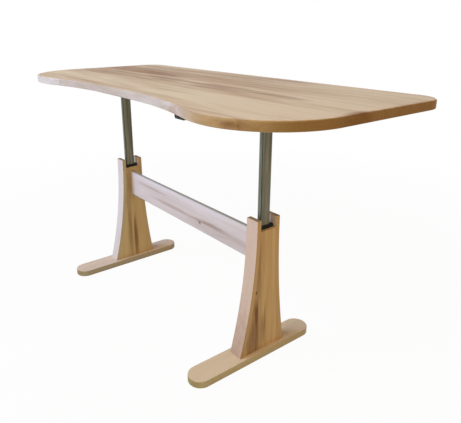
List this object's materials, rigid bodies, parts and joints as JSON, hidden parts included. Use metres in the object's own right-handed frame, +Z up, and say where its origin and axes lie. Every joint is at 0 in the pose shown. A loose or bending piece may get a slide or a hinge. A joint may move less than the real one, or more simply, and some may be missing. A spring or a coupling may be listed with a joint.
{
  "type": "height-adjustable desk",
  "caption": "Electric height-adjustable desk with a curved solid beech top on two flared wooden columns joined by a stretcher, with steel lift tubes.",
  "frame": {"origin": "centre of the bounding box, on the floor", "axes": "+X along the desk to the user's right, +Y away from the user, +Z up; the user sits on the -Y side"},
  "size_m": [2, 0.868, 1.108],
  "materials": {
    "beech_top": "oiled solid beech, satin",
    "beech": "oiled solid beech, satin",
    "glide": "matt",
    "satin_steel": "satin",
    "black_steel": "matt powder coat",
    "black_plastic": "matt",
    "key_plastic": "satin",
    "bronze": "machined",
    "cast_alloy": "cast",
    "circuit": "satin",
    "motor_shell": "satin paint",
    "bright_steel": "zinc plated"
  },
  "bodies": {
    "base": {"foot_left": "beech", "foot_right": "beech", "foot_glides": "glide", "foot_screws": "bright_steel", "front_board_left": "beech", "front_board_right": "beech", "back_board_left": "beech", "back_board_right": "beech", "inner_board_left": "beech", "inner_board_right": "beech", "outer_board_left": "beech", "outer_board_right": "beech", "stretcher": "beech", "stretcher_dowels": "beech", "guide_tube_left": "satin_steel", "guide_tube_right": "satin_steel", "guide_collar_left": "black_plastic", "guide_collar_right": "black_plastic", "nut_post_left": "satin_steel", "nut_post_right": "satin_steel", "spindle_nut_left": "bronze", "spindle_nut_right": "bronze"},
    "desk_top": {"desktop": "beech_top", "lift_tube_left": "satin_steel", "lift_tube_right": "satin_steel", "glide_shoe_left": "black_plastic", "glide_shoe_right": "black_plastic", "crossbeam": "black_steel", "arm_left": "black_steel", "arm_right": "black_steel", "arm_bolts": "bright_steel", "desktop_screws": "bright_steel", "gear_head_left": "cast_alloy", "gear_head_right": "cast_alloy", "gear_head_lids": "cast_alloy", "gear_head_screws": "bright_steel", "spindle_bearing_left": "bright_steel", "spindle_bearing_right": "bright_steel", "shaft_bushes": "bronze", "motor_gearbox": "motor_shell", "motor": "motor_shell", "motor_screws": "bright_steel", "control_box": "black_plastic", "control_box_cover": "black_plastic", "control_board": "circuit", "mains_inlet": "black_plastic", "switch_housing": "black_plastic", "switch_plate": "black_plastic"},
    "left_spindle": {"spindle_left": "bright_steel", "spindle_gear_left": "bright_steel"},
    "right_spindle": {"spindle_right": "bright_steel", "spindle_gear_right": "bright_steel"},
    "cross_shaft": {"drive_shaft": "bright_steel", "shaft_gear_left": "bright_steel", "shaft_gear_right": "bright_steel", "drive_hub": "bright_steel"},
    "up_key": {"up_button": "key_plastic"},
    "down_key": {"down_button": "key_plastic"}
  },
  "joints": [
    {"name": "lift", "type": "slide", "parent": "base", "child": "desk_top", "axis": [0, 0, 1], "range_m": [-0.393, 0.027]},
    {"name": "left_spindle_spin", "type": "hinge", "parent": "desk_top", "child": "left_spindle", "pos_m": [-0.5635, -0.026, 1], "axis": [0, 0, 1], "range_deg": [-14400, 1440]},
    {"name": "right_spindle_spin", "type": "hinge", "parent": "desk_top", "child": "right_spindle", "pos_m": [0.5635, -0.026, 1], "axis": [0, 0, 1], "range_deg": [-1440, 14400]},
    {"name": "shaft_spin", "type": "hinge", "parent": "desk_top", "child": "cross_shaft", "pos_m": [0, -0.026, 1.034], "axis": [1, 0, 0], "range_deg": [-14400, 1440]},
    {"name": "up_press", "type": "slide", "parent": "desk_top", "child": "up_key", "axis": [0, 1, 0], "range_m": [0, 0.0012], "stiffness_N_per_m": 800},
    {"name": "down_press", "type": "slide", "parent": "desk_top", "child": "down_key", "axis": [0, 1, 0], "range_m": [0, 0.0012], "stiffness_N_per_m": 800}
  ],
  "couplings": [
    {"joint": "left_spindle_spin", "follows": "lift", "rad_per_m": 628.32},
    {"joint": "right_spindle_spin", "follows": "lift", "rad_per_m": -628.32},
    {"joint": "shaft_spin", "follows": "lift", "rad_per_m": 628.32}
  ]
}
